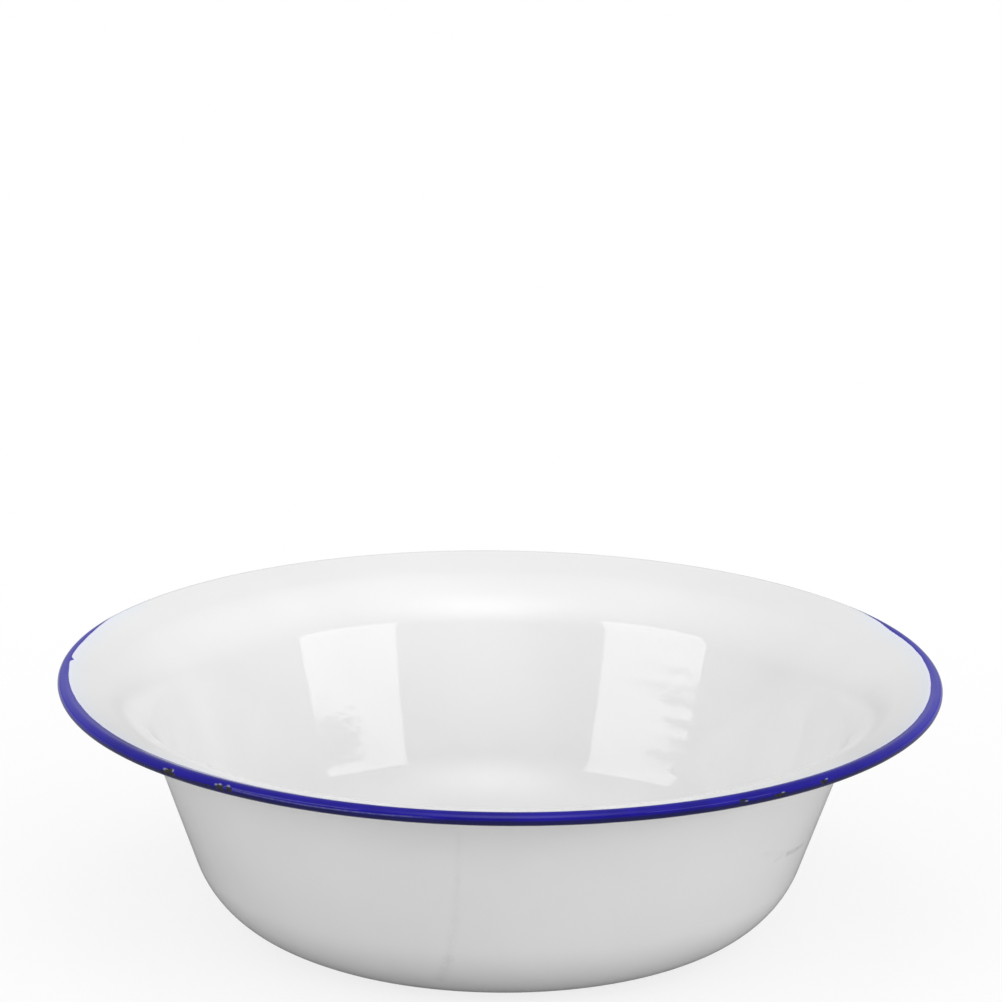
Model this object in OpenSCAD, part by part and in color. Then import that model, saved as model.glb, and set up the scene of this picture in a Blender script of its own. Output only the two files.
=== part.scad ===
// Enamel basin bowl. A pressed steel sheet with a rolled rim, a dark ground coat on both faces,
// a white cover coat inside and outside, and a blue edging round the rim bead.
// Millimetres. The base stands on z = 0 and the axis of the bowl is the Z axis.

/* [Bowl] */
// Diameter over the blue rim bead
rim_d = 300; // [260:1:360]
// Height from the table to the top of the bead
height = 87.5; // [75:0.5:120]
// Diameter at which the flat standing ring begins to turn up into the wall
base_d = 138; // [100:1:156]
// Radius of the bend from the base into the wall, on the steel's upper face
corner_r = 36; // [24:0.5:46]

/* [Base panel] */
// Width of the flat ring that the bowl stands on
ring_w = 15; // [8:0.5:24]
// Height by which the middle of the base is raised above the standing ring
panel_rise = 1.2; // [0.6:0.1:2]
// Radius of both bends of the step inside the ring, on the steel's upper face
step_r = 5; // [3:0.5:7]

/* [Lip and rim] */
// Radius of the bend from the wall out into the lip, on the steel's upper face
flare_r = 23.5; // [12:0.5:32]
// Length of the straight part of the lip
lip_w = 13; // [6:0.5:18]
// Angle at which the lip rises above level, in degrees
lip_angle = 15; // [5:1:22]
// Diameter over the finished rim bead
bead_d = 4.4; // [4:0.1:7]
// Angle through which the sheet is rolled to make the bead, in degrees
curl_turn = 270; // [230:5:280]
// Width of the blue on the straight part of the lip, inward from the bead
blue_lap = 0.5; // [0.2:0.1:4]

/* [Sheet and coats] */
// Thickness of the steel sheet
steel_t = 0.5; // [0.4:0.05:0.8]
// Thickness of the dark ground coat on each face
ground_t = 0.12; // [0.1:0.01:0.2]
// Thickness of the white coat and of the blue edging
cover_t = 0.18; // [0.15:0.01:0.3]

/* [Smoothness] */
// Largest turn between two neighbouring points of a bend, in degrees
bend_step = 4; // [2:1:6]
// Straight sides of one full turn in the preview
$fn = 180; // [96:12:240]

/* [Hidden] */
// Distances from the steel's upper face, counted up and into the bowl
ground_in = ground_t;
cover_in = ground_in + cover_t;
steel_out = -steel_t;
ground_out = steel_out - ground_t;
cover_out = ground_out - cover_t;

// Height of the steel's upper face over the standing ring
ring_z = -cover_out;
panel_z = ring_z + panel_rise;
step_angle = acos(1 - panel_rise / (2 * step_r));
ring_r = base_d / 2 - ring_w;
panel_r = ring_r - 2 * step_r * sin(step_angle);

// Direction signs of a bend: to the left on the way out turns up, to the right turns down
left = 1;
right = -1;

// The curl and the straight lip, on the steel's upper face
curl_c = [(rim_d - bead_d) / 2, height - bead_d / 2];
curl_r = bead_d / 2 - cover_in;
lip_along = [cos(lip_angle), sin(lip_angle)];
lip_normal = [-sin(lip_angle), cos(lip_angle)];
lip_end = curl_c + curl_r * lip_normal;
lip_start = lip_end - lip_w * lip_along;
blue_start = lip_end - blue_lap * lip_along;

// Both large bends shrink alike where the wall between the ring and the lip has no room for them
wall_room = lip_start - [base_d / 2, ring_z];
bend_share = min(1,
    wall_room[0] / (corner_r + flare_r * (1 - sin(lip_angle))),
    wall_room[1] / (corner_r + flare_r * cos(lip_angle)));
corner_bend_r = corner_r * bend_share;
flare_bend_r = flare_r * bend_share;

// Centres of the other bends, on the steel's upper face
step_top_c = [panel_r, panel_z - step_r];
step_foot_c = [ring_r, ring_z + step_r];
corner_c = [base_d / 2, ring_z + corner_bend_r];
flare_c = lip_start - flare_bend_r * lip_normal;

// The straight wall is the line that touches both the corner bend and the flare bend
bend_span = flare_c - corner_c;
wall_angle = atan2(bend_span[1], bend_span[0])
    + asin((corner_bend_r + flare_bend_r) / norm(bend_span));

// Directions of the sheet at the points of a bend, from direction a to direction b
function turn(a, b) =
    let (steps = ceil(abs(b - a) / bend_step))
    [for (i = [0:steps]) a + (b - a) * i / steps];

// Directions along the curl, above level, from the end of the lip to the cut edge
curl_end = lip_angle - curl_turn;
curl_dirs = turn(lip_angle, curl_end);
// The blue runs past the cut edge by its own thickness
blue_end = curl_end - cover_t / curl_r * 180 / PI;

// Points of a bend at distance d from the steel's upper face
function bend(c, r, side, dirs, d) = [for (dir = dirs) c + (side * r - d) * [sin(dir), -cos(dir)]];

function curl(dirs, d) = bend(curl_c, curl_r, right, dirs, d);

// Points at distance d from the axis outward to the start of the straight lip
function shell(d) = concat(
    [[0, panel_z + d]],
    bend(step_top_c, step_r, right, turn(0, -step_angle), d),
    bend(step_foot_c, step_r, left, turn(-step_angle, 0), d),
    bend(corner_c, corner_bend_r, left, turn(0, wall_angle), d),
    bend(flare_c, flare_bend_r, right, turn(wall_angle, lip_angle), d));

// The edge of the blue, a point on the lip at distance d
function blue_edge(d) = [blue_start + d * lip_normal];

// The shell's line carried on to the edge of the blue, to the end of the lip, and to the cut edge
function to_blue(d) = concat(shell(d), blue_edge(d));
function to_mouth(d) = concat(shell(d), curl([lip_angle], d));
function to_edge(d) = concat(shell(d), curl(curl_dirs, d));

function reversed(list) = [for (i = [len(list) - 1:-1:0]) list[i]];

// A layer of the bowl between two lines of points that start on the axis
module layer(lower, upper) {
    rotate_extrude()
        polygon(concat(lower, reversed(upper)));
}

// Pressed sheet: base, wall, lip and the open curl of the rim
module steel_bowl() {
    color("silver")
        layer(to_edge(steel_out), to_edge(0));
}

// Dark coat on the upper face and over the outside of the curl
module ground_coat_inside() {
    color("midnightblue")
        layer(to_edge(0), to_edge(ground_in));
}

// Dark coat on the lower face and inside the curl
module ground_coat_outside() {
    color("midnightblue")
        layer(to_edge(ground_out), to_edge(steel_out));
}

// White coat inside the bowl, over the lip to the edge of the blue
module white_coat_inside() {
    color("white")
        layer(to_blue(ground_in), to_blue(cover_in));
}

// White coat on the outside, up to the mouth of the curl
module white_coat_outside() {
    color("whitesmoke")
        layer(to_mouth(cover_out), to_mouth(ground_out));
}

// Blue coat from the lip round the bead, closed over the cut edge of the sheet
module blue_rim_edging() {
    color("darkblue")
        rotate_extrude()
            polygon(concat(
                blue_edge(cover_in),
                curl(curl_dirs, cover_in),
                curl([blue_end], cover_in),
                curl([blue_end], ground_out),
                curl([curl_end], ground_out),
                curl(reversed(curl_dirs), ground_in),
                blue_edge(ground_in)));
}

steel_bowl();
ground_coat_inside();
ground_coat_outside();
white_coat_inside();
white_coat_outside();
blue_rim_edging();
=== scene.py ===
"""The looks of the enamel basin bowl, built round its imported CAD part.

Everything is in metres and in the CAD's frame: the bowl stands on z = 0 and its axis is the Z axis.
The white coats and the blue edging are rebuilt as closed shells with the marks of real enamel: waves
and ripples in the glaze, press marks in the wall, a drain line, an uneven blue edge, and chips down to
the dark coat.
"""
import math

import bpy
import numpy as np
from mathutils import Matrix, Vector


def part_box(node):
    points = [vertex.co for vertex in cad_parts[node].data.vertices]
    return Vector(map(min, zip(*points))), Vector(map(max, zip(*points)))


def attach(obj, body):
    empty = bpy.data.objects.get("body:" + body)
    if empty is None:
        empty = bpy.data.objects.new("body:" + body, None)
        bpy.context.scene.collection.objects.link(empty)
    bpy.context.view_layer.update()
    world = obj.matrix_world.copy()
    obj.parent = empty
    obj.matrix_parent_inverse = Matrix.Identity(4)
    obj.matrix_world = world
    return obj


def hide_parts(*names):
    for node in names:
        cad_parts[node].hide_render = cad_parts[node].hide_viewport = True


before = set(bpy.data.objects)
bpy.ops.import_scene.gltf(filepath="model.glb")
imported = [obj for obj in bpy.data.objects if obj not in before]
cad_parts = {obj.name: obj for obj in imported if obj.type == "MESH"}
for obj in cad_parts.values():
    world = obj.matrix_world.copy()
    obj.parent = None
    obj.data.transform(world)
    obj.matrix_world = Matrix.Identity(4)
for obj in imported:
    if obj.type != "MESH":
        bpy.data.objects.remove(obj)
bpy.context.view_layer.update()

MM = 0.001
SEED = 7
rng = np.random.default_rng(SEED)

# Sizes of the part, as its source gives them
RIM_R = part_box("blue_rim_edging")[1].x
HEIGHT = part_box("blue_rim_edging")[1].z
BASE_R = 69 * MM
CORNER_R = 36 * MM
RING_W = 15 * MM
PANEL_RISE = 1.2 * MM
STEP_R = 5 * MM
FLARE_R = 23.5 * MM
LIP_W = 13 * MM
LIP_ANGLE = math.radians(15)
BEAD_R = 2.2 * MM
CURL_TURN = math.radians(270)
STEEL_T = 0.5 * MM
GROUND_T = 0.12 * MM
COVER_T = 0.18 * MM

# Distances of the coats from the steel's upper face, counted up and into the bowl
GROUND_IN = GROUND_T
COVER_IN = GROUND_IN + COVER_T
GROUND_OUT = -STEEL_T - GROUND_T
COVER_OUT = GROUND_OUT - COVER_T

# How finely the walls that show, and the base and the backs of the coats, are drawn
FINE_BEND = math.radians(1.6)
FINE_STRAIGHT = 1 * MM
COARSE_BEND = math.radians(5)
COARSE_STRAIGHT = 12 * MM
COLUMNS = 390
CREST_ROWS = 12
# Rows and columns that would lie closer together than this are left out
LEAST_ROW = 0.001 * MM
LEAST_COLUMN = 0.05 * MM
# How many plane waves make up a random one
WAVE_COUNT = 48

# Sides of a heading: up and into the bowl, or down and out of it
LEFT = 1
RIGHT = -1


def unit(heading):
    """Unit vector along a heading above level, in the plane of the section."""
    return np.stack([np.cos(heading), np.sin(heading)], -1)


def normal(heading):
    """Unit vector on the left of a heading: up and into the bowl."""
    return np.stack([-np.sin(heading), np.cos(heading)], -1)


def turn(a, b, step):
    """Headings of a bend from a to b."""
    return np.linspace(a, b, math.ceil(abs(b - a) / step) + 1)


def bend(centre, radius, side, headings):
    """Points of a bend on the steel's upper face."""
    return centre - side * radius * normal(headings)


# The section of the steel's upper face, from the axis out to the curl
ring_z = -COVER_OUT
panel_z = ring_z + PANEL_RISE
step_angle = math.acos(1 - PANEL_RISE / (2 * STEP_R))
ring_r = BASE_R - RING_W
panel_r = ring_r - 2 * STEP_R * math.sin(step_angle)
curl_c = np.array([RIM_R - BEAD_R, HEIGHT - BEAD_R])
curl_r = BEAD_R - COVER_IN
curl_end = LIP_ANGLE - CURL_TURN
lip_end = curl_c + curl_r * normal(LIP_ANGLE)
lip_start = lip_end - LIP_W * unit(LIP_ANGLE)
corner_c = np.array([BASE_R, ring_z + CORNER_R])
flare_c = lip_start - FLARE_R * normal(LIP_ANGLE)
bend_span = flare_c - corner_c
wall_angle = math.atan2(bend_span[1], bend_span[0]) + math.asin(
    (CORNER_R + FLARE_R) / np.linalg.norm(bend_span))


def shell_path(end, bend_step, straight_step):
    """Points and headings of the section up to a point on the lip; the steps are those of the wall."""
    step_down = turn(0, -step_angle, COARSE_BEND)
    step_up = turn(-step_angle, 0, COARSE_BEND)
    corner = turn(0, wall_angle, bend_step)
    flare = turn(wall_angle, LIP_ANGLE, bend_step)
    stretches = [
        (bend([panel_r, panel_z - STEP_R], STEP_R, RIGHT, step_down), step_down, COARSE_STRAIGHT),
        (bend([ring_r, ring_z + STEP_R], STEP_R, LEFT, step_up), step_up, COARSE_STRAIGHT),
        (bend(corner_c, CORNER_R, LEFT, corner), corner, COARSE_STRAIGHT),
        (bend(flare_c, FLARE_R, RIGHT, flare), flare, straight_step),
        (end[None], np.array([LIP_ANGLE]), straight_step),
    ]
    points = [np.array([[0, panel_z]])]
    headings = [np.array([0.0])]
    for stretch, stretch_headings, step in stretches:
        start = points[-1][-1]
        count = math.ceil(np.linalg.norm(stretch[0] - start) / step)
        between = np.arange(1, count)[:, None] / max(count, 1)
        points += [start + (stretch[0] - start) * between, stretch]
        headings += [np.full(len(between), stretch_headings[0]), stretch_headings]
    points = np.concatenate(points)
    headings = np.concatenate(headings)
    apart = np.linalg.norm(np.diff(points, axis=0), axis=1) > LEAST_ROW
    kept = np.concatenate([[True], apart])
    return points[kept], headings[kept]


def offset(points, headings, distance):
    """The same line at a distance from the steel's upper face."""
    return points + distance * normal(headings)


def around(section, azimuths):
    """Turns a section, given once or per azimuth, into rows and columns of points in space."""
    if section.ndim == 2:
        section = np.repeat(section[:, None], len(azimuths), axis=1)
    radius = section[..., 0]
    height = section[..., 1]
    return np.stack([radius * np.cos(azimuths), radius * np.sin(azimuths), height], -1)


def waves(points, wavelength):
    """Smooth random waves of one length all over, of unit size."""
    directions = rng.normal(size=(WAVE_COUNT, 3))
    directions /= np.linalg.norm(directions, axis=1)[:, None]
    phases = rng.uniform(0, math.tau, WAVE_COUNT)
    heights = np.zeros(points.shape[:-1])
    for direction, phase in zip(directions, phases):
        heights += np.cos(points @ (direction * math.tau / wavelength) + phase)
    return heights * math.sqrt(2 / WAVE_COUNT)


def smooth_step(value, low, high):
    """Rises smoothly from 0 at low to 1 at high."""
    share = np.clip((value - low) / (high - low), 0, 1)
    return share * share * (3 - 2 * share)


def angle_from(azimuths, centre):
    """Signed angle of each azimuth from a centre."""
    return (azimuths - centre + math.pi) % math.tau - math.pi


def hole_walls(index, holes):
    """Faces of the walls of the holes, from the rim of each hole to the face behind."""
    rows = len(holes)

    def corner(numbers, down, along):
        return np.roll(numbers, -along, axis=1)[down:down + rows]

    level = np.zeros((1, holes.shape[1]), bool)
    above = np.concatenate([level, holes[:-1]])
    below = np.concatenate([holes[1:], level])
    sides = [
        (np.roll(holes, 1, axis=1), (0, 0), (1, 0)),
        (below, (1, 0), (1, 1)),
        (np.roll(holes, -1, axis=1), (1, 1), (0, 1)),
        (above, (0, 1), (0, 0)),
    ]
    behind = index[::-1]
    walls = []
    for beside, start, end in sides:
        wall = [corner(index, *start), corner(index, *end), corner(behind, *end), corner(behind, *start)]
        walls.append(np.stack(wall, -1)[holes & ~beside])
    return np.concatenate(walls)


def lathe(name, grid, holes=None):
    """Closed mesh from rows and columns of points that run once round the section of a coat.

    Without holes, the section starts and ends on the axis and gets a single point there. With holes,
    its last row joins its first. Holes marks the faces of the first rows that are missing, right
    through to the face behind, which is the same row counted from the end.
    """
    rows, columns, _ = grid.shape
    index = np.arange(rows * columns).reshape(rows, columns)
    on_axis = holes is None
    if on_axis:
        index[0] = index[0, 0]
        index[-1] = index[-1, 0]
    below = np.roll(index, -1, axis=0)
    quads = np.stack([index, below, np.roll(below, -1, axis=1), np.roll(index, -1, axis=1)], -1)
    if on_axis:
        quads = quads[:-1].reshape(-1, 4)
    else:
        missing = np.zeros((rows, columns), bool)
        missing[:len(holes)] = holes
        missing[rows - 1 - len(holes):rows - 1] |= holes[::-1]
        quads = np.concatenate([quads[~missing], hole_walls(index, holes)])
    used, numbers = np.unique(quads, return_inverse=True)
    faces = []
    for quad in numbers.reshape(quads.shape).tolist():
        corners = list(dict.fromkeys(quad))
        if len(corners) > 2:
            faces.append(corners)
    mesh = bpy.data.meshes.new(name)
    mesh.from_pydata(grid.reshape(-1, 3)[used].tolist(), [], faces)
    mesh.polygons.foreach_set("use_smooth", [True] * len(faces))
    mesh.update()
    piece = bpy.data.objects.new(name, mesh)
    bpy.context.scene.collection.objects.link(piece)
    return piece, used


def paint(piece, used, name, values):
    """Gives the points of a piece a value that its material reads by name."""
    attribute = piece.data.attributes.new(name, "FLOAT", "POINT")
    attribute.data.foreach_set("value", values.reshape(-1)[used].astype(np.float32))


# The edge between white and blue: azimuths in degrees, and places along the rim in millimetres, counted
# inward from the end of the lip. Along the back the blue lies lower, outside the crest
EDGE_PLACES = [
    (-174, 1.2), (-168, 1.7), (-160, 2.2), (-150, 2.4), (-134, 3.0), (-118, 2.4), (-100, 0.9), (-40, 1.2),
    (-20, 1.6), (-6, 1.5), (10, 0.6), (22, 0.7), (30, -0.9), (36, -1.8),
    (155, -1.8), (162, -0.2), (167, 0.2), (174, 0), (180, 0.7),
]
# The white's last rows follow the edge over this length of the lip
EDGE_ZONE = 5 * MM
# How far the brushed edge wanders, and how often on the way round
EDGE_WANDER = 0.07 * MM
EDGE_TURNS = np.array([7, 12, 19, 31, 47, 64, 90])
edge_phases = rng.uniform(0, math.tau, len(EDGE_TURNS))
BLOT_AZIMUTH = math.radians(176)
BLOT_HALF_W = 1.4 * MM
BLOT_LAP = 1.0 * MM
# Where the columns are closer for the blot: its azimuth, their reach and their step at the rim
BLOT_COLUMNS = (BLOT_AZIMUTH, 4 * BLOT_HALF_W, BLOT_HALF_W / 4)


def rim_heading(inward):
    """Heading of the rim at a place along it: the lip's, or less where the curl has begun."""
    return LIP_ANGLE + np.minimum(inward, 0) / BEAD_R


def rim_line(inward, distance):
    """Points at places along the rim, at a distance from the steel's upper face."""
    on_lip = np.maximum(inward, 0)[..., None] * unit(LIP_ANGLE)
    reach = curl_r + np.asarray(distance)[..., None]
    return curl_c + reach * normal(rim_heading(inward)) - on_lip


def blue_edge(azimuths):
    """Place along the rim at which the blue begins: a brushed line with one blot."""
    degrees, places = np.array(EDGE_PLACES).T
    line = np.interp(np.degrees(azimuths), degrees, places, period=360) * MM
    wander = np.cos(np.outer(azimuths, EDGE_TURNS) + edge_phases).sum(axis=1) / math.sqrt(len(EDGE_TURNS))
    blot = np.exp(-(angle_from(azimuths, BLOT_AZIMUTH) * RIM_R / BLOT_HALF_W) ** 2)
    return line + EDGE_WANDER * wander + BLOT_LAP * blot


def crest(azimuths, distance):
    """The white's last stretch, over the lip up to the blue."""
    shares = np.linspace(0, 1, CREST_ROWS + 1)[1:, None]
    return rim_line(EDGE_ZONE + (blue_edge(azimuths) - EDGE_ZONE) * shares, distance)


# The glaze: slow waves of the sheet and the closer ripple of the enamel
SHEET_WAVE = 0.02 * MM
SHEET_WAVE_LENGTH = 55 * MM
RIPPLE = 0.002 * MM
RIPPLE_LENGTH = 9 * MM
# They settle over this length towards the last row on the lip, and outside over this height from the table
SETTLE_LENGTH = LIP_W / 2
SETTLE_Z = 4 * MM
# Level marks that pressing left in the wall, at the right of the back: their heights, their lengths up the
# wall, and how many times longer they are round it
PRESS_MARKS = [(0.008 * MM, 22 * MM, 3), (0.003 * MM, 5.5 * MM, 9)]
PRESS_MARK_AZIMUTH = math.radians(58)
PRESS_MARK_SPREAD = math.radians(30)
# One level swell among them, and the height at which it leaves the wall's plane inward
PRESS_SWELL = 0.024 * MM
PRESS_SWELL_LENGTH = 44 * MM
PRESS_SWELL_Z = 57 * MM
# Where the corner runs out into the wall, the wall bows in a little
BOW = 0.04 * MM
BOW_BELOW = 4 * MM
BOW_W = 7 * MM


def azimuths_near(places):
    """Azimuths all round, and closer near each place: its azimuth, its reach and the step at the rim."""
    azimuths = [np.arange(COLUMNS) * math.tau / COLUMNS]
    for azimuth, reach, step in places:
        count = math.ceil(2 * reach / step)
        azimuths.append(azimuth + np.linspace(-reach, reach, count) / RIM_R)
    azimuths = np.sort(np.concatenate(azimuths) % math.tau)
    apart = np.diff(azimuths, append=azimuths[0] + math.tau) * RIM_R > LEAST_COLUMN
    return azimuths[apart]


def displaced(points, azimuths, heights, headings, side):
    """Moves the points of a coat's open face out along its normal, with one point left on the axis."""
    section_normal = side * normal(headings)[:, None]
    moves = heights[..., None] * section_normal
    moved = points + np.stack([
        moves[..., 0] * np.cos(azimuths), moves[..., 0] * np.sin(azimuths), moves[..., 1]], -1)
    moved[0] = moved[0, 0]
    return moved


def glaze(points):
    """Height of the waves of a white coat."""
    return SHEET_WAVE * waves(points, SHEET_WAVE_LENGTH) + RIPPLE * waves(points, RIPPLE_LENGTH)


def settled(points):
    """Share of the waves at each point: none at the last row."""
    return smooth_step(np.linalg.norm(points[-1:] - points, axis=-1), 0, SETTLE_LENGTH)


def press_marks(points, azimuths):
    """Height of the level marks in the wall."""
    spread = np.exp(-(angle_from(azimuths, PRESS_MARK_AZIMUTH) / PRESS_MARK_SPREAD) ** 2)
    heights = PRESS_SWELL * np.sin((points[..., 2] - PRESS_SWELL_Z) * math.tau / PRESS_SWELL_LENGTH)
    for height, length, stretch in PRESS_MARKS:
        heights += height * waves(points / np.array([stretch, stretch, 1]), length)
    return heights * spread


def wall_bow(path, headings):
    """Height of the bow at the foot of the wall, for each point of the section."""
    steps = np.linalg.norm(np.diff(path, axis=0), axis=1)
    along = np.concatenate([[0], np.cumsum(steps)])
    wall_start = along[np.argmax(headings)]
    return BOW * np.exp(-((along - wall_start + BOW_BELOW) / BOW_W) ** 2)


# Along the back, where the blue ends lower on the bead, the white counts as this much further from it. The
# back begins between two sines of the azimuth
BACK_SHIFT = 16 * MM
BACK_FROM = 0.45
BACK_TO = 0.7


def make_inner_enamel():
    """White coat inside."""
    azimuths = azimuths_near([BLOT_COLUMNS])
    end = lip_end - EDGE_ZONE * unit(LIP_ANGLE)
    path, headings = shell_path(end, FINE_BEND, FINE_STRAIGHT)
    flat = around(offset(path, headings, COVER_IN), azimuths)
    uneven = (glaze(flat) + press_marks(flat, azimuths)) * settled(flat)
    face = displaced(flat, azimuths, uneven + wall_bow(path, headings)[:, None], headings, LEFT)
    face = np.concatenate([face, around(crest(azimuths, COVER_IN), azimuths)])
    path, headings = shell_path(end, COARSE_BEND, COARSE_STRAIGHT)
    back = around(offset(path, headings, GROUND_IN), azimuths)
    back = np.concatenate([back, around(crest(azimuths, GROUND_IN), azimuths)])
    grid = np.concatenate([face, back[::-1]])
    piece, used = lathe("inner_enamel", grid)
    at_back = smooth_step(np.sin(azimuths), BACK_FROM, BACK_TO)
    paint(piece, used, "from_blue", np.linalg.norm(grid - face[-1], axis=-1) + BACK_SHIFT * at_back)
    return piece


# A drain line down the front of the outside, which leans as it goes down and fades out at its foot
DRAIN_AZIMUTH = math.radians(-96.0)
DRAIN_LEAN = math.radians(-4.5)
DRAIN_HALF_W = 1.5 * MM
DRAIN_HEIGHT = 0.03 * MM
DRAIN_FOOT_FROM = 2 * MM
DRAIN_FOOT_TO = 12 * MM
# Where the columns are closer for it: its middle, their reach and their step at the rim
DRAIN_COLUMNS = (
    DRAIN_AZIMUTH + DRAIN_LEAN / 2, abs(DRAIN_LEAN) * RIM_R + 3 * DRAIN_HALF_W, DRAIN_HALF_W / 3)


def drain_line(points, azimuths):
    """Height of the drain line at each point of the outside."""
    radius = np.hypot(points[..., 0], points[..., 1])
    lean = DRAIN_LEAN * (1 - smooth_step(points[..., 2], 0, HEIGHT))
    across = angle_from(azimuths - lean, DRAIN_AZIMUTH) * radius
    on_wall = smooth_step(points[..., 2], DRAIN_FOOT_FROM, DRAIN_FOOT_TO)
    on_wall *= smooth_step(radius, BASE_R, BASE_R + CORNER_R)
    return DRAIN_HEIGHT * np.exp(-(across / DRAIN_HALF_W) ** 2) * on_wall


def make_outer_enamel():
    """White coat outside."""
    azimuths = azimuths_near([DRAIN_COLUMNS])
    path, headings = shell_path(lip_end, FINE_BEND, FINE_STRAIGHT)
    flat = around(offset(path, headings, COVER_OUT), azimuths)
    uneven = glaze(flat) * (settled(flat) * smooth_step(flat[..., 2], 0, SETTLE_Z))
    face = displaced(flat, azimuths, uneven + drain_line(flat, azimuths), headings, RIGHT)
    path, headings = shell_path(lip_end, COARSE_BEND, COARSE_STRAIGHT)
    back = around(offset(path, headings, GROUND_OUT), azimuths)
    grid = np.concatenate([back, face[::-1]])
    piece, used = lathe("outer_enamel", grid)
    paint(piece, used, "from_blue", np.linalg.norm(grid - face[-1], axis=-1))
    return piece


# Chips in the blue edging: azimuth and heading on the bead in degrees, half length and half width in
# millimetres
CHIPS = [
    (-135.4, -87, 3.0, 1.4),
    (-130.2, -97, 0.8, 0.4),
    (-129.3, -96, 0.6, 0.3),
    (-128.5, -93, 0.8, 0.4),
    (-126.6, -84, 1.8, 1.1),
    (-125.2, -82, 1.2, 1.1),
    (-58.7, -76, 1.5, 0.5),
    (-58.5, -98, 1.7, 0.5),
    (-53.0, -98, 2.2, 0.9),
    (-45.7, -84, 1.6, 0.9),
]
# Painted highlights on the broken glass at the upper edges of the chips, given in the same way, and the share
# of their reach that is palest
GLINTS = [
    (-135.9, -71, 1.6, 0.6),
    (-134.7, -60, 1.1, 0.7),
    (-127.1, -69, 1.2, 0.55),
    (-126.6, -60, 1.0, 0.6),
    (-125.3, -56, 1.0, 0.6),
    (-58.2, -87, 0.9, 0.3),
    (-52.6, -80, 1.0, 0.35),
    (-50.5, -92, 0.5, 0.25),
    (-45.2, -68, 0.9, 0.35),
]
GLINT_CORE = 0.2
# Columns at the chips: their step, and how far they reach past a chip's half length
CHIP_STEP = 0.2 * MM
CHIP_REACH = 1.3
CHIP_MARGIN = 0.8 * MM
# Width of a chip's sloping edge, and the least and most of it that a chip gets
CHIP_BEVEL = 0.32 * MM
CHIP_BEVEL_SHARES = (0.6, 1.3)
# Deepest share of the blue that is broken away beside a hole, and the shares between which it turns dark
CHIP_DEEPEST = 0.94
BROKEN_FROM = 0.02
BROKEN_TO = 0.25
# Lobes of a chip's outline: how many go round it, and their sizes
CHIP_LOBES = np.array([2, 3, 5, 8])
CHIP_LOBE_SIZES = np.array([0.12, 0.16, 0.12, 0.07])
# Rows of the blue: from its edge to the fine ones, the headings and the step of those, the step beyond, and
# the rows of its rounded end
BLUE_TOP_ROWS = 14
BLUE_FINE_FROM = math.radians(-40)
BLUE_FINE_TO = math.radians(-135)
BLUE_FINE_STEP = math.radians(3.2)
BLUE_STEP = math.radians(8)
CAP_ROWS = 6
# The blue swells from its edge over this width, and it has a ripple
BLUE_SWELL = 0.04 * MM
BLUE_SWELL_W = 0.5 * MM
BLUE_RIPPLE = 0.008 * MM
BLUE_RIPPLE_LENGTH = 14 * MM
# Under the bead the blue is painted darker as shade, from one heading below level to the next, and at the
# left and right it is painted brighter as light, from one cosine of the azimuth to the next
BLUE_UNDER_SHADE_FROM = math.radians(76)
BLUE_UNDER_SHADE_TO = math.radians(104)
BLUE_SIDE_LIGHT_FROM = 0.8
BLUE_SIDE_LIGHT_TO = 1.0
# A pale line painted along the front of the bead as a reflection: its azimuths and headings in degrees, its
# half width, and the angle over which its ends fade
REFLECTION_LINE_PLACES = [(-128, -74), (-120, -82), (-113, -87), (-104, -84), (-97, -78)]
REFLECTION_LINE_HALF_W = math.radians(6)
REFLECTION_LINE_FADE = math.radians(5)


def on_mark(azimuths, headings, azimuth, heading, half_length, half_width):
    """Places along and across a mark on the bead, counted in its half length and half width."""
    along = angle_from(azimuths, math.radians(azimuth)) * RIM_R / (half_length * MM)
    across = (headings - math.radians(heading)) * BEAD_R / (half_width * MM)
    return along, across


def chip_depth(azimuths, headings):
    """Share of the blue that is broken away at each point: 0 whole, 1 right through."""
    depth = np.zeros(headings.shape)
    for chip in CHIPS:
        _, _, half_length, half_width = chip
        along, across = on_mark(azimuths, headings, *chip)
        phases = rng.uniform(0, math.tau, len(CHIP_LOBES))
        bevel = CHIP_BEVEL * rng.uniform(*CHIP_BEVEL_SHARES)
        bearing_in = np.arctan2(across, np.broadcast_to(along, across.shape))
        outline = 1 + (CHIP_LOBE_SIZES * np.cos(bearing_in[..., None] * CHIP_LOBES + phases)).sum(axis=-1)
        inside = (outline - np.hypot(along, across)) * min(half_length, half_width) * MM
        depth = np.maximum(depth, np.clip(inside / bevel, 0, 1))
    return depth


def glint_share(azimuths, headings):
    """How much painted highlight lies on the blue's broken edge at each point, from 0 to 1."""
    share = np.zeros(headings.shape)
    for glint in GLINTS:
        away = np.hypot(*on_mark(azimuths, headings, *glint))
        share = np.maximum(share, 1 - smooth_step(away, GLINT_CORE, 1))
    return share


def reflection_line_share(azimuths, headings):
    """Share of the pale line painted as a reflection along the bead at each point, from 0 to 1."""
    places = np.radians(REFLECTION_LINE_PLACES)
    below_zero = azimuths - math.tau
    middle = np.interp(below_zero, places[:, 0], places[:, 1])
    from_ends = np.minimum(below_zero - places[0, 0], places[-1, 0] - below_zero)
    return np.exp(-((headings - middle) / REFLECTION_LINE_HALF_W) ** 2) * smooth_step(from_ends, 0, REFLECTION_LINE_FADE)


def without_pinches(holes):
    """The same holes, with those that meet only at a corner joined."""
    joined = holes.copy()
    pinched = True
    while pinched:
        here = joined[:-1]
        right = np.roll(here, -1, axis=1)
        below = joined[1:]
        across = np.roll(below, -1, axis=1)
        falling = here & across & ~right & ~below
        rising = right & below & ~here & ~across
        joined[:-1] |= rising
        joined[1:] |= falling
        pinched = falling.any() or rising.any()
    return joined


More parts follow.
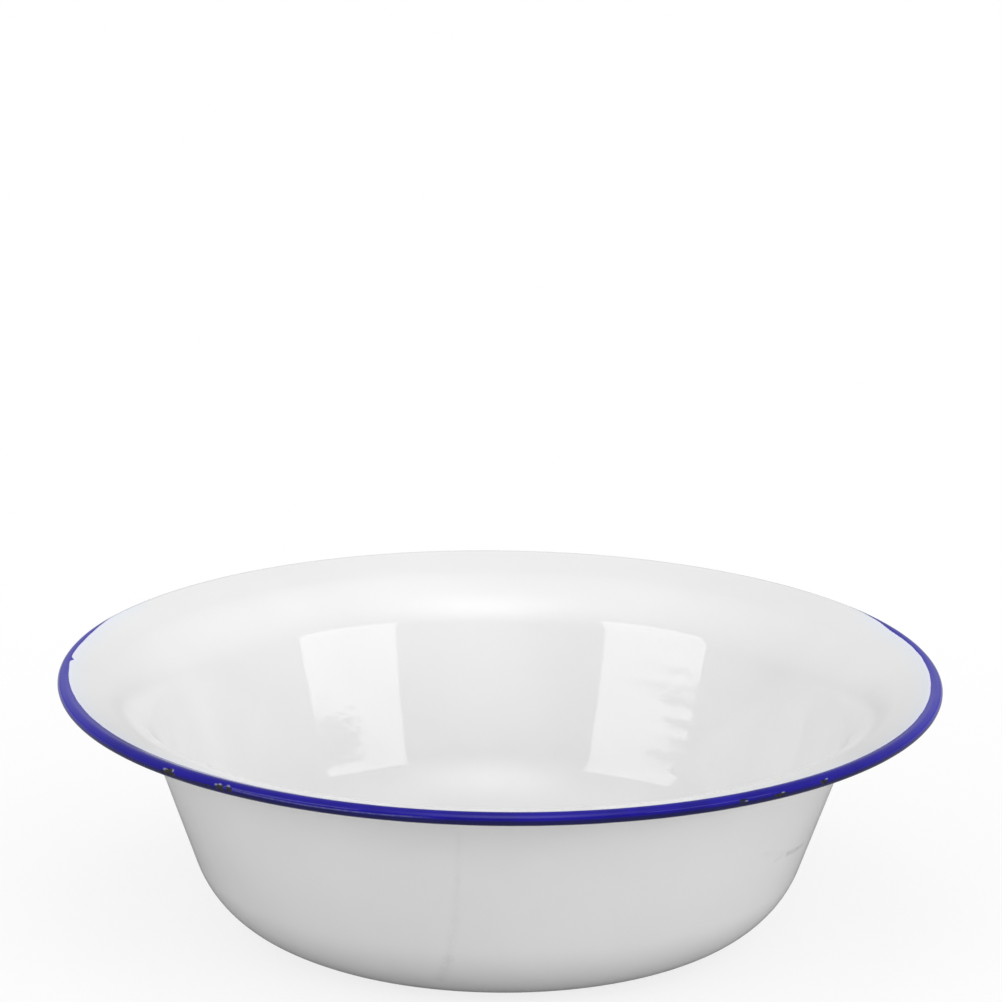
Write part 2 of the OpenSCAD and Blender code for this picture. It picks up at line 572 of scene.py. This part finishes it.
def blue_places(start):
    """Places along the rim of the blue's rows, from its edge round the bead to the cut edge."""
    headings = np.concatenate([
        turn(BLUE_FINE_FROM, BLUE_FINE_TO, BLUE_FINE_STEP)[:-1],
        turn(BLUE_FINE_TO, curl_end, BLUE_STEP)])
    common = (headings - LIP_ANGLE) * BEAD_R
    shares = np.linspace(0, 1, BLUE_TOP_ROWS + 1)[:-1, None]
    return np.concatenate([
        start + (common[0] - start) * shares,
        np.repeat(common[:, None], len(start), axis=1)])


def blue_cap(outside):
    """The blue's rounded end past the cut edge, from its outside to its foot inside the curl."""
    turns = np.linspace(0, math.pi, CAP_ROWS + 2)[1:-1, None]
    middle = curl_r + (outside + GROUND_OUT) / 2
    half = (outside - GROUND_OUT) / 2
    reach = middle + half * np.cos(turns)
    headings = np.repeat(curl_end - COVER_T / curl_r * np.sin(turns), len(outside), axis=1)
    foot = curl_c + (curl_r + GROUND_OUT) * normal(np.full((1, len(outside)), curl_end))
    return np.concatenate([curl_c + reach[..., None] * normal(headings), foot])


def make_rim_edging():
    """Blue edging, with chips right through it."""
    fine = [
        (math.radians(azimuth), half_length * MM * CHIP_REACH + CHIP_MARGIN, CHIP_STEP)
        for azimuth, _, half_length, _ in CHIPS]
    azimuths = azimuths_near(fine + [BLOT_COLUMNS])
    start = blue_edge(azimuths)
    inward = blue_places(start)
    headings = rim_heading(inward)
    depth = chip_depth(azimuths, headings)
    through = depth >= 1
    holes = through[:-1] & through[1:]
    holes &= np.roll(holes, -1, axis=1)
    depth = np.minimum(depth, CHIP_DEEPEST)
    past_edge = smooth_step(start - inward, 0, BLUE_SWELL_W)
    ripple = BLUE_RIPPLE * waves(around(rim_line(inward, COVER_IN), azimuths), BLUE_RIPPLE_LENGTH)
    outside = GROUND_IN + (COVER_T + (BLUE_SWELL + ripple) * past_edge) * (1 - depth)
    back = rim_line(inward, GROUND_IN)
    section = np.concatenate([rim_line(inward, outside), blue_cap(outside[-1]), back[::-1]])
    piece, used = lathe("rim_edging", around(section, azimuths), without_pinches(holes))

    def paint_face(name, values, elsewhere):
        """Paints the outer face, and one value on the rest of the section."""
        everywhere = np.full(section.shape[:2], float(elsewhere))
        everywhere[:len(values)] = values
        paint(piece, used, name, everywhere)

    paint_face("broken", smooth_step(depth, BROKEN_FROM, BROKEN_TO), 0)
    # Painted highlights where the chips' broken glass catches the light
    paint_face("glint", glint_share(azimuths, headings), 0)
    # A pale line painted along the bead as a reflection
    paint_face("stroke_and_reflection", reflection_line_share(azimuths, headings), 0)
    # Painted shade under the bead, and full painted shade on the rest of the section
    paint_face("under", smooth_step(-headings, BLUE_UNDER_SHADE_FROM, BLUE_UNDER_SHADE_TO), 1)
    # Painted light: the blue is brighter at the left and right
    side = smooth_step(np.abs(np.cos(azimuths)), BLUE_SIDE_LIGHT_FROM, BLUE_SIDE_LIGHT_TO)
    paint(piece, used, "side", np.broadcast_to(side, section.shape[:2]))
    return piece


def feed(tree, socket, value):
    """Sets a socket to a value, or links it to another node's output."""
    if isinstance(value, bpy.types.NodeSocket):
        tree.links.new(value, socket)
    else:
        socket.default_value = value


def calculated(tree, operation, a, b):
    """Result of an operation on two numbers or outputs."""
    node = tree.nodes.new("ShaderNodeMath")
    node.operation = operation
    feed(tree, node.inputs[0], a)
    feed(tree, node.inputs[1], b)
    return node.outputs["Value"]


def product(tree, a, b):
    return calculated(tree, "MULTIPLY", a, b)


def total(tree, a, b):
    return calculated(tree, "ADD", a, b)


def greater(tree, a, b):
    return calculated(tree, "MAXIMUM", a, b)


def vector_node(tree, operation, *values):
    """Node of an operation on vectors or outputs."""
    node = tree.nodes.new("ShaderNodeVectorMath")
    node.operation = operation
    for socket, value in zip(node.inputs, values):
        feed(tree, socket, value)
    return node


def ranged(tree, value, from_low, from_high, to_low, to_high):
    """Carries a value from one range to another, without passing its ends."""
    node = tree.nodes.new("ShaderNodeMapRange")
    feed(tree, node.inputs["Value"], value)
    feed(tree, node.inputs["From Min"], from_low)
    feed(tree, node.inputs["From Max"], from_high)
    feed(tree, node.inputs["To Min"], to_low)
    feed(tree, node.inputs["To Max"], to_high)
    return node.outputs["Result"]


def mixed(tree, share, a, b):
    """Colour between a and b; either may be a colour or another node's output."""
    node = tree.nodes.new("ShaderNodeMix")
    node.data_type = "RGBA"
    feed(tree, node.inputs["Factor"], share)
    for name, value in (("A", a), ("B", b)):
        socket = [s for s in node.inputs if s.name == name and s.type == "RGBA"][0]
        feed(tree, socket, (*value, 1) if isinstance(value, tuple) else value)
    return [s for s in node.outputs if s.type == "RGBA"][0]


def painted(tree, name):
    """The value that a piece's points carry under this name, 0 where they carry none."""
    node = tree.nodes.new("ShaderNodeAttribute")
    node.attribute_name = name
    return node.outputs["Fac"]


def noise(tree, place, scale, detail=3):
    """Noise from 0 to 1 at a scale in features per metre."""
    node = tree.nodes.new("ShaderNodeTexNoise")
    feed(tree, node.inputs["Scale"], scale)
    feed(tree, node.inputs["Detail"], detail)
    feed(tree, node.inputs["Vector"], place)
    return node.outputs["Fac"]


# Contrasts of patches: the values of the noise at which the one look and the other are reached
SOFT = (0.3, 0.7)
MEDIUM = (0.35, 0.65)
FIRM = (0.35, 0.6)
HARD = (0.35, 0.5)
SPARSE = (0.6, 0.7)


def patches(tree, place, scale, contrast, low=0, high=1):
    """Patches of noise with values from low to high."""
    return ranged(tree, noise(tree, place, scale), *contrast, low, high)


# Share of a speck's radius at which it has its full colour, and the width of the choice of its cells
SPECK_CORE = 0.6
SPECK_CHOICE = 0.01


def specks(tree, place, scale, radius, share):
    """Small round specks, in a share of the cells of a scatter."""
    node = tree.nodes.new("ShaderNodeTexVoronoi")
    feed(tree, node.inputs["Scale"], scale)
    feed(tree, node.inputs["Vector"], place)
    spot = ranged(tree, node.outputs["Distance"], radius * scale, radius * scale * SPECK_CORE, 0, 1)
    cell = tree.nodes.new("ShaderNodeSeparateColor")
    feed(tree, cell.inputs["Color"], node.outputs["Color"])
    chosen = ranged(tree, cell.outputs["Red"], 1 - share, 1 - share + SPECK_CHOICE, 0, 1)
    return product(tree, spot, chosen)


# Strokes on the outside: the azimuths in degrees and heights in millimetres of both ends, the half width
# in millimetres and the darkness. First a scuff at the right, then the grey of the drain line at the front
STROKES = [
    ((-21.0, 40.6), (-24.0, 40.9), 1.4, 0.30),
    ((-24.0, 40.9), (-28.8, 41.9), 1.6, 0.34),
    ((-31.0, 42.1), (-33.0, 42.1), 1.5, 0.10),
    ((-28.8, 42.5), (-38.4, 47.5), 1.6, 0.05),
    ((-96.1, 70.0), (-96.6, 52.5), 1.9, 0.045),
    ((-96.6, 52.5), (-97.3, 36.8), 1.9, 0.05),
    ((-97.3, 36.8), (-99.0, 20.7), 2.3, 0.055),
    ((-99.0, 20.7), (-101.2, 11.0), 3.0, 0.10),
]
# Share of a stroke's half width that is darkest
STROKE_CORE = 0.1
# Height from which the outside rises all the way to the lip
RISING_Z = 0.5 * MM


def on_outside(azimuth, height):
    """Point on the outer wall, from an azimuth in degrees and a height in millimetres."""
    path, headings = shell_path(lip_end, COARSE_BEND, COARSE_STRAIGHT)
    section = offset(path, headings, COVER_OUT)
    rising = section[:, 1] > RISING_Z
    radius = np.interp(height * MM, section[rising, 1], section[rising, 0])
    return radius * math.cos(math.radians(azimuth)), radius * math.sin(math.radians(azimuth)), height * MM


def stroke(tree, place, start, end, half_width):
    """1 on a straight stroke between two points, fading to 0 at its half width."""
    start = Vector(start)
    length = Vector(end) - start
    from_start = vector_node(tree, "SUBTRACT", place, start).outputs["Vector"]
    along = vector_node(tree, "DOT_PRODUCT", from_start, length / length.length_squared).outputs["Value"]
    nearest = vector_node(tree, "SCALE", length)
    feed(tree, nearest.inputs["Scale"], ranged(tree, along, 0, 1, 0, 1))
    away = vector_node(tree, "DISTANCE", from_start, nearest.outputs["Vector"]).outputs["Value"]
    return ranged(tree, away, STROKE_CORE * half_width, half_width, 1, 0)


def new_material(name):
    """A material with a Principled shader, and the place on the piece for its textures."""
    material = bpy.data.materials.new(name)
    material.use_nodes = True
    tree = material.node_tree
    place = tree.nodes.new("ShaderNodeTexCoord").outputs["Object"]
    return material, tree, tree.nodes["Principled BSDF"], place


def surface(tree, shader, colour, roughness, bumps, bump_height):
    """Gives a shader its colour, its roughness and its bumps."""
    feed(tree, shader.inputs["Base Color"], colour)
    feed(tree, shader.inputs["Roughness"], roughness)
    node = tree.nodes.new("ShaderNodeBump")
    feed(tree, node.inputs["Distance"], bump_height)
    feed(tree, node.inputs["Height"], bumps)
    feed(tree, shader.inputs["Normal"], node.outputs["Normal"])


ENAMEL_IOR = 1.52

# The white: its patches, its tint and its glow beside the blue, its specks, and the grey of its strokes
WHITE_DARK = (0.765, 0.765, 0.765)
WHITE_LIGHT = (0.805, 0.805, 0.805)
WHITE_TINT = (0.74, 0.79, 0.87)
WHITE_GLOW = (0.80, 0.80, 0.99)
WHITE_SPECK = (0.40, 0.39, 0.37)
STROKE_GREY = (0.20, 0.20, 0.21)
# Distances from the blue between which the tint and the glow fade, and their shares beside it
TINT_FROM = 1 * MM
TINT_TO = 7 * MM
TINT_MOST = 0.6
GLOW_FROM = 0.4 * MM
GLOW_TO = 1.4 * MM
GLOW_MOST = 0.7
# Distances from the blue between which the dull lip passes into the glossy wall, and its added roughness
DULL_FROM = 34 * MM
DULL_TO = 46 * MM
LIP_DULLNESS = 0.14


def white_enamel(name, strokes):
    """White enamel, with grey along strokes."""
    material, tree, shader, place = new_material(name)
    from_blue = painted(tree, "from_blue")
    colour = mixed(tree, patches(tree, place, scale=14, contrast=SOFT), WHITE_DARK, WHITE_LIGHT)
    colour = mixed(tree, ranged(tree, from_blue, TINT_FROM, TINT_TO, TINT_MOST, 0), colour, WHITE_TINT)
    colour = mixed(tree, ranged(tree, from_blue, GLOW_FROM, GLOW_TO, GLOW_MOST, 0), colour, WHITE_GLOW)
    colour = mixed(tree, specks(tree, place, scale=60, radius=0.22 * MM, share=0.06), colour, WHITE_SPECK)
    for start, end, half_width, darkness in strokes:
        mark = stroke(tree, place, on_outside(*start), on_outside(*end), half_width * MM)
        stroke_and_reflection = product(tree, mark, patches(tree, place, scale=900, contrast=FIRM, low=0.3))
        colour = mixed(tree, product(tree, stroke_and_reflection, darkness), colour, STROKE_GREY)
    roughness = patches(tree, place, scale=40, contrast=SOFT, low=0.03, high=0.06)
    on_lip = ranged(tree, from_blue, DULL_TO, DULL_FROM, 0, LIP_DULLNESS)
    peel = noise(tree, place, scale=380, detail=1)
    surface(tree, shader, colour, total(tree, roughness, on_lip), peel, bump_height=0.006 * MM)
    shader.inputs["IOR"].default_value = ENAMEL_IOR
    return material


# The blue: its patches, its painted light at the left and right, its painted shade underneath and the share
# of it, its painted reflection line, its specks, and the dark of its broken glass with its painted highlights
BLUE_DARK = (0.005, 0.002, 0.21)
BLUE_LIGHT = (0.009, 0.004, 0.27)
BLUE_SIDE_LIGHT = (0.012, 0.007, 0.37)
BLUE_UNDER_SHADE = (0.008, 0.008, 0.035)
BLUE_UNDER_SHADE_MOST = 0.8
BLUE_REFLECTION_LINE = (0.10, 0.105, 0.27)
BLUE_SPECK = (0.06, 0.06, 0.20)
BLUE_BROKEN = (0.015, 0.015, 0.03)
BLUE_GLINT = (0.34, 0.35, 0.43)
BLUE_SPECULAR = 0.25


def blue_enamel():
    """Blue enamel, with what is painted on the rim."""
    material, tree, shader, place = new_material("blue_enamel")
    colour = mixed(tree, patches(tree, place, scale=90, contrast=MEDIUM), BLUE_DARK, BLUE_LIGHT)
    # Painted light: the blue is brighter at the left and right
    colour = mixed(tree, painted(tree, "side"), colour, BLUE_SIDE_LIGHT)
    # Painted shade: the blue is darker under the bead
    under = ranged(tree, painted(tree, "under"), 0, 1, 0, BLUE_UNDER_SHADE_MOST)
    colour = mixed(tree, under, colour, BLUE_UNDER_SHADE)
    # Painted reflection: a pale line along the front of the bead, broken up by noise
    line_breakup = patches(tree, place, scale=700, contrast=FIRM, low=0.45, high=0.9)
    colour = mixed(tree, product(tree, painted(tree, "stroke_and_reflection"), line_breakup), colour, BLUE_REFLECTION_LINE)
    colour = mixed(tree, specks(tree, place, scale=240, radius=0.2 * MM, share=0.05), colour, BLUE_SPECK)
    colour = mixed(tree, painted(tree, "broken"), colour, BLUE_BROKEN)
    # Painted highlights on the chips' broken glass
    pale = patches(tree, place, scale=1600, contrast=HARD, low=0.4, high=0.85)
    colour = mixed(tree, product(tree, painted(tree, "glint"), pale), colour, BLUE_GLINT)
    roughness = patches(tree, place, scale=150, contrast=SOFT, low=0.06, high=0.11)
    peel = noise(tree, place, scale=500, detail=1)
    surface(tree, shader, colour, roughness, peel, bump_height=0.008 * MM)
    shader.inputs["IOR"].default_value = ENAMEL_IOR
    shader.inputs["Specular IOR Level"].default_value = BLUE_SPECULAR
    return material


GROUND_DARK = (0.010, 0.010, 0.014)
GROUND_RUST = (0.07, 0.035, 0.018)


def ground_enamel():
    """The dark coat, rough and a little rusty where chips lay it bare."""
    material, tree, shader, place = new_material("ground_enamel")
    rust = patches(tree, place, scale=900, contrast=SPARSE, high=0.3)
    colour = mixed(tree, rust, GROUND_DARK, GROUND_RUST)
    roughness = patches(tree, place, scale=600, contrast=SOFT, low=0.35, high=0.6)
    surface(tree, shader, colour, roughness, noise(tree, place, scale=1500), bump_height=0.08 * MM)
    return material


STEEL_DARK = (0.36, 0.36, 0.37)
STEEL_LIGHT = (0.46, 0.46, 0.47)


def pressed_steel():
    """Bare steel sheet."""
    material, tree, shader, place = new_material("pressed_steel")
    colour = mixed(tree, patches(tree, place, scale=300, contrast=SOFT), STEEL_DARK, STEEL_LIGHT)
    roughness = patches(tree, place, scale=500, contrast=SOFT, low=0.3, high=0.45)
    surface(tree, shader, colour, roughness, noise(tree, place, scale=1200), bump_height=0.01 * MM)
    shader.inputs["Metallic"].default_value = 1
    return material


def dress(piece, material, node):
    """Puts a piece in the place of its CAD node."""
    piece.data.materials.append(material)
    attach(piece, "root")
    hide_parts(node)


white_inside = white_enamel("white_enamel_inside", [])
white_outside = white_enamel("white_enamel_outside", STROKES)
dress(make_inner_enamel(), white_inside, "white_coat_inside")
dress(make_outer_enamel(), white_outside, "white_coat_outside")
dress(make_rim_edging(), blue_enamel(), "blue_rim_edging")

ground = ground_enamel()
for name, material in (("steel_bowl", pressed_steel()), ("ground_coat_inside", ground),
                       ("ground_coat_outside", ground)):
    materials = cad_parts[name].data.materials
    materials.clear()
    materials.append(material)

# Camera, placed so that the bowl lies in the frame as the lowest bowl of the photograph does
VIEW_DISTANCE = 2.0
VIEW_ELEVATION = math.radians(17.4616)
VIEW_TURN = math.radians(0.0135)
VIEW_PITCH = math.radians(-15.7339)
VIEW_ROLL = math.radians(0.6802)
# Focal length and width of the sensor, in millimetres
VIEW_LENS = 211.368
VIEW_SENSOR = 36

camera_data = bpy.data.cameras.new("camera")
camera_data.lens = VIEW_LENS
camera_data.sensor_width = VIEW_SENSOR
camera = bpy.data.objects.new("camera", camera_data)
camera.location = (0, -VIEW_DISTANCE * math.cos(VIEW_ELEVATION),
                   curl_c[1] + VIEW_DISTANCE * math.sin(VIEW_ELEVATION))
aim = Matrix.Rotation(VIEW_TURN, 3, "Z") @ Matrix.Rotation(math.pi / 2 + VIEW_PITCH, 3, "X")
camera.rotation_euler = (aim @ Matrix.Rotation(VIEW_ROLL, 3, "Z")).to_euler()
bpy.context.scene.collection.objects.link(camera)
bpy.context.scene.camera = camera


def ray_kinds(tree):
    """1 for the camera's own rays, and 1 for those that show the surroundings in gloss and through glass."""
    rays = tree.nodes.new("ShaderNodeLightPath").outputs
    return rays["Is Camera Ray"], greater(tree, rays["Is Glossy Ray"], rays["Is Transmission Ray"])


def grey(level):
    """Colour with all parts alike."""
    return (level, level, level)


# Floor, a little under the bowl. It glows white to the camera, and weaker in gloss
FLOOR_R = 8.0
FLOOR_SIDES = 96
FLOOR_Z = -0.05 * MM
# Distances from the axis between which the lit floor, which holds the shadow, fades out of the camera's
# glow, and its share near the bowl
SHADE_FROM = 0.14
SHADE_TO = 0.42
FLOOR_SHADE = 0.2
# The glow in gloss near the bowl, and at the distance where it is strongest
GLOSS_LEAST = 0.1
GLOSS_MOST = 0.5
GLOSS_TO = 1.0
# The lit floor's colour to the camera, in gloss, and to other rays, where it is painted darker near the bowl
# as shade
FLOOR_SEEN_COLOUR = 0.9
FLOOR_GLOSS_COLOUR = 0.3
FLOOR_LIGHT_COLOUR = 0.7
FLOOR_NEAR_SHADE_COLOUR = 0.5
NEAR_FROM = 0.08
NEAR_TO = 0.22


def make_floor():
    """The ground under the bowl."""
    bpy.ops.mesh.primitive_circle_add(
        vertices=FLOOR_SIDES, radius=FLOOR_R, fill_type="NGON", location=(0, 0, FLOOR_Z))
    floor = bpy.context.object
    floor.name = "floor"
    material = bpy.data.materials.new("floor")
    material.use_nodes = True
    tree = material.node_tree
    tree.nodes.clear()
    place = tree.nodes.new("ShaderNodeTexCoord").outputs["Object"]
    from_axis = vector_node(tree, "LENGTH", place).outputs["Value"]
    camera_ray, gloss_ray = ray_kinds(tree)
    to_camera = product(tree, camera_ray, ranged(tree, from_axis, SHADE_FROM, SHADE_TO, 1 - FLOOR_SHADE, 1))
    gloss_glow = ranged(tree, from_axis, SHADE_FROM, GLOSS_TO, GLOSS_LEAST, GLOSS_MOST)
    in_gloss = product(tree, gloss_ray, gloss_glow)
    # Painted shade: to rays other than the camera's and gloss, the floor is darker near the bowl
    away = ranged(tree, from_axis, NEAR_FROM, NEAR_TO, 0, 1)
    colour = mixed(tree, away, grey(FLOOR_NEAR_SHADE_COLOUR), grey(FLOOR_LIGHT_COLOUR))
    colour = mixed(tree, gloss_ray, colour, grey(FLOOR_GLOSS_COLOUR))
    colour = mixed(tree, camera_ray, colour, grey(FLOOR_SEEN_COLOUR))
    diffuse = tree.nodes.new("ShaderNodeBsdfDiffuse")
    feed(tree, diffuse.inputs["Color"], colour)
    glow = tree.nodes.new("ShaderNodeEmission")
    mix = tree.nodes.new("ShaderNodeMixShader")
    feed(tree, mix.inputs["Fac"], greater(tree, to_camera, in_gloss))
    feed(tree, mix.inputs[1], diffuse.outputs["BSDF"])
    feed(tree, mix.inputs[2], glow.outputs["Emission"])
    output = tree.nodes.new("ShaderNodeOutputMaterial")
    feed(tree, output.inputs["Surface"], mix.outputs["Shader"])
    floor.data.materials.append(material)


# World. It is white to the camera, a backdrop with soft lights in gloss, and to other rays an even light with
# lobes. Each lobe: its azimuth from the camera's side towards +X, its elevation, its narrowness, its strength
AMBIENT = 0.2
LOBES = [
    (0, 90, 16, 1.80),
    (0, 26, 2, 0.32),
    (0, 5, 2, 0.43),
    (-90, 26, 2, 0.75),
    (80, 5, 2, 1.54),
]
GLOSS_LOBES = [
    (0, 62, 10, 0.3),
    (6, 48, 14, 2.4),
]
# The backdrop rises from its strength at the horizon to that above, between two heights of a bearing
BACKDROP_FROM = 0
BACKDROP_TO = math.sin(math.radians(14))
BACKDROP_LOW = 0.3
BACKDROP_TOP = 0.64
# Towards the camera's side it falls to a share of that, between two values of the bearing's Y
ROOM_SIDE_Y = -0.85
BACKDROP_SIDE_Y = -0.35
ROOM_SHARE = 0.4


def bearing(azimuth, elevation):
    """Unit vector; azimuth is counted from the camera's side towards +X, in degrees."""
    a = math.radians(azimuth)
    e = math.radians(elevation)
    return Vector((math.sin(a) * math.cos(e), -math.cos(a) * math.cos(e), math.sin(e)))


def lobe(tree, place, azimuth, elevation, narrowness, strength):
    """Soft light round one direction."""
    along = vector_node(tree, "DOT_PRODUCT", place, bearing(azimuth, elevation)).outputs["Value"]
    power = calculated(tree, "POWER", ranged(tree, along, 0, 1, 0, 1), narrowness)
    return product(tree, power, strength)


def make_world():
    """The surroundings, as each kind of ray sees them."""
    world = bpy.data.worlds.new("studio")
    world.use_nodes = True
    tree = world.node_tree
    background = tree.nodes["Background"]
    place = tree.nodes.new("ShaderNodeTexCoord").outputs["Generated"]
    light = AMBIENT
    for setting in LOBES:
        light = total(tree, lobe(tree, place, *setting), light)
    parts = tree.nodes.new("ShaderNodeSeparateXYZ")
    feed(tree, parts.inputs["Vector"], place)
    camera_ray, gloss_ray = ray_kinds(tree)
    rising = ranged(tree, parts.outputs["Z"], BACKDROP_FROM, BACKDROP_TO, BACKDROP_LOW, BACKDROP_TOP)
    behind = ranged(tree, parts.outputs["Y"], ROOM_SIDE_Y, BACKDROP_SIDE_Y, ROOM_SHARE, 1)
    backdrop = product(tree, rising, behind)
    for setting in GLOSS_LOBES:
        backdrop = total(tree, lobe(tree, place, *setting), backdrop)
    seen = greater(tree, camera_ray, product(tree, gloss_ray, backdrop))
    unseen = ranged(tree, greater(tree, camera_ray, gloss_ray), 0, 1, 1, 0)
    feed(tree, background.inputs["Strength"], total(tree, seen, product(tree, unseen, light)))
    background.inputs["Color"].default_value = (1, 1, 1, 1)
    bpy.context.scene.world = world


def panel(name, place, towards, width, height, radiance):
    """A flat soft light that the camera doesn't see."""
    data = bpy.data.lights.new(name, "AREA")
    data.shape = "RECTANGLE"
    data.size = width
    data.size_y = height
    data.energy = radiance * math.pi * width * height
    light = bpy.data.objects.new(name, data)
    light.location = place
    light.rotation_euler = Vector(towards).to_track_quat("-Z", "Y").to_euler()
    light.visible_camera = False
    bpy.context.scene.collection.objects.link(light)


# A window on either side of the camera. Each: its name, its side, the azimuths of its edges, and the
# elevations of its foot and head, in degrees as they are seen from the wall that shows it
WINDOWS = [
    ("window_right", 1, 37.6, 71.6, 18.2, 27.0),
    ("window_left", -1, 36.6, 74.0, 18.2, 33.0),
]
WINDOW_DISTANCE = 3.0
WINDOW_FACING = 34.5
WINDOW_RADIANCE = 2.4
# The place on that wall, opposite the window
WALL_R = 0.110
WALL_AZIMUTH = 27
WALL_Z = 0.045
QUARTER_TURN = 90


def make_lights():
    """The windows that the inner wall mirrors."""
    for name, side, near, far, foot, head in WINDOWS:
        facing = bearing(side * WINDOW_FACING, 0)
        along = bearing(side * (WINDOW_FACING + QUARTER_TURN), 0)
        left, right, low, high = (
            WINDOW_DISTANCE * math.tan(math.radians(angle))
            for angle in (near - WINDOW_FACING, far - WINDOW_FACING, foot, head))
        wall = Vector((0, 0, WALL_Z)) - WALL_R * bearing(side * WALL_AZIMUTH, 0)
        middle = facing * WINDOW_DISTANCE + along * (left + right) / 2 + Vector((0, 0, (low + high) / 2))
        panel(name, wall + middle, -facing, right - left, high - low, WINDOW_RADIANCE)


make_floor()
make_world()
make_lights()
bpy.context.scene.view_settings.view_transform = "Standard"
